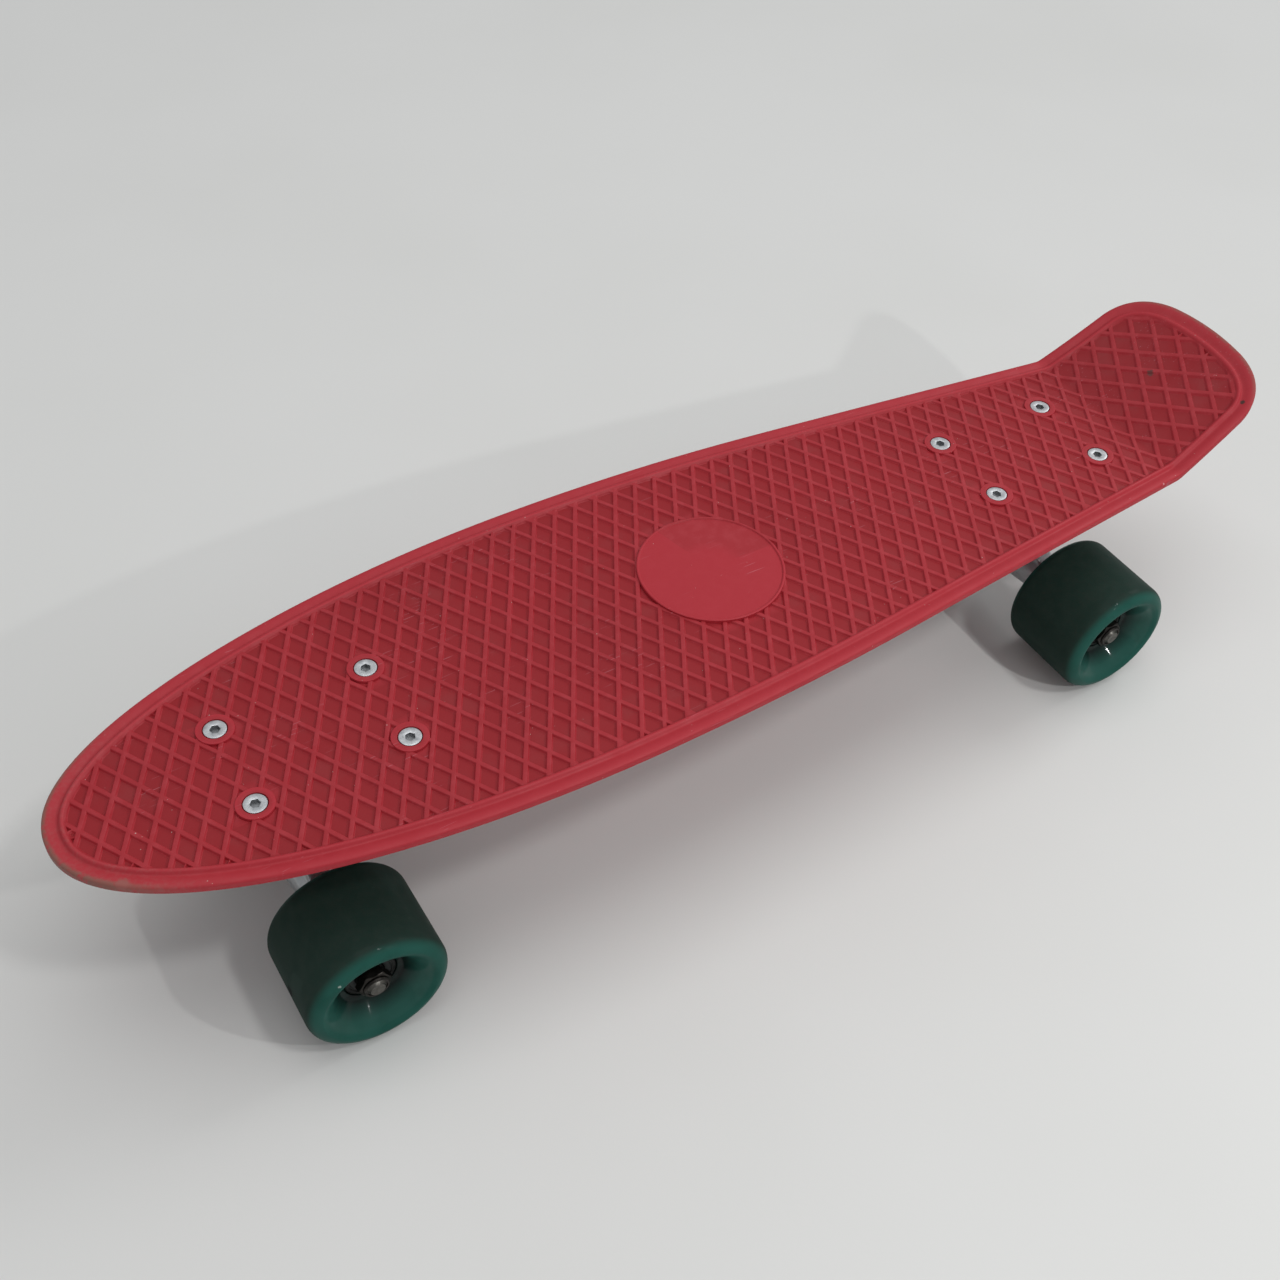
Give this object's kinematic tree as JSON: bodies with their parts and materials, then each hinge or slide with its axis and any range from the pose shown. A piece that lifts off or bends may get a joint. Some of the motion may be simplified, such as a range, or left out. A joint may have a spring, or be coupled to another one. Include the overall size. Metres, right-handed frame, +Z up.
{
  "type": "cruiser skateboard",
  "caption": "Short plastic cruiser skateboard with a waffle-textured deck, an upturned kicktail, steering trucks on bushings and soft wide wheels.",
  "frame": {"origin": "on the floor, under the middle of the board's length and width", "axes": "+X towards the kicktail, +Y to the rider's far side when the nose points left, +Z up; the board stands on its wheels"},
  "size_m": [0.5814, 0.1608, 0.1288],
  "materials": {
    "deck": "moulded polypropylene, waffle textured, lightly worn",
    "wheel": "cast urethane, satin dark green, worn tread",
    "truck": "cast, as tumbled",
    "steel": "bright zinc plated",
    "bearing": "steel ring with black rubber shields",
    "bushing": "cast urethane, black",
    "pivot_cup": "moulded, black"
  },
  "bodies": {
    "deck": {"deck": "deck", "front_screw_outer_left": "steel", "front_lock_nut_outer_left": "steel", "front_screw_outer_right": "steel", "front_lock_nut_outer_right": "steel", "front_screw_inner_left": "steel", "front_lock_nut_inner_left": "steel", "front_screw_inner_right": "steel", "front_lock_nut_inner_right": "steel", "front_baseplate": "truck", "front_pivot_cup": "pivot_cup", "front_kingpin": "steel", "front_board_bushing": "bushing", "front_road_bushing": "bushing", "front_board_cup_washer": "steel", "front_road_cup_washer": "steel", "front_kingpin_nut": "steel", "rear_screw_outer_left": "steel", "rear_lock_nut_outer_left": "steel", "rear_screw_outer_right": "steel", "rear_lock_nut_outer_right": "steel", "rear_screw_inner_left": "steel", "rear_lock_nut_inner_left": "steel", "rear_screw_inner_right": "steel", "rear_lock_nut_inner_right": "steel", "rear_baseplate": "truck", "rear_pivot_cup": "pivot_cup", "rear_kingpin": "steel", "rear_board_bushing": "bushing", "rear_road_bushing": "bushing", "rear_board_cup_washer": "steel", "rear_road_cup_washer": "steel", "rear_kingpin_nut": "steel"},
    "front_hanger": {"front_hanger": "truck", "front_axle": "steel", "front_left_bearing_core": "steel", "front_left_axle_nut": "steel", "front_right_bearing_core": "steel", "front_right_axle_nut": "steel"},
    "front_left_wheel": {"front_left_wheel": "wheel", "front_left_outer_bearing": "bearing", "front_left_inner_bearing": "bearing"},
    "front_right_wheel": {"front_right_wheel": "wheel", "front_right_outer_bearing": "bearing", "front_right_inner_bearing": "bearing"},
    "rear_hanger": {"rear_hanger": "truck", "rear_axle": "steel", "rear_left_bearing_core": "steel", "rear_left_axle_nut": "steel", "rear_right_bearing_core": "steel", "rear_right_axle_nut": "steel"},
    "rear_left_wheel": {"rear_left_wheel": "wheel", "rear_left_outer_bearing": "bearing", "rear_left_inner_bearing": "bearing"},
    "rear_right_wheel": {"rear_right_wheel": "wheel", "rear_right_outer_bearing": "bearing", "rear_right_inner_bearing": "bearing"}
  },
  "joints": [
    {"name": "front_steer", "type": "hinge", "parent": "deck", "child": "front_hanger", "pos_m": [-0.2124, 0, 0.0715], "axis": [-0.8669, 0, 0.4985], "range_deg": [-15, 15], "stiffness_Nm_per_rad": 60, "deforming": ["front_board_bushing", "front_road_bushing"]},
    {"name": "front_left_wheel_spin", "type": "hinge", "parent": "front_hanger", "child": "front_left_wheel", "pos_m": [-0.1996, -0.0569, 0.03], "axis": [0, 1, 0], "continuous": true},
    {"name": "front_right_wheel_spin", "type": "hinge", "parent": "front_hanger", "child": "front_right_wheel", "pos_m": [-0.1996, 0.0569, 0.03], "axis": [0, 1, 0], "continuous": true},
    {"name": "rear_steer", "type": "hinge", "parent": "deck", "child": "rear_hanger", "pos_m": [0.2006, 0, 0.0715], "axis": [0.8669, 0, 0.4985], "range_deg": [-15, 15], "stiffness_Nm_per_rad": 60, "deforming": ["rear_board_bushing", "rear_road_bushing"]},
    {"name": "rear_left_wheel_spin", "type": "hinge", "parent": "rear_hanger", "child": "rear_left_wheel", "pos_m": [0.1878, -0.0569, 0.03], "axis": [0, 1, 0], "continuous": true},
    {"name": "rear_right_wheel_spin", "type": "hinge", "parent": "rear_hanger", "child": "rear_right_wheel", "pos_m": [0.1878, 0.0569, 0.03], "axis": [0, 1, 0], "continuous": true}
  ]
}
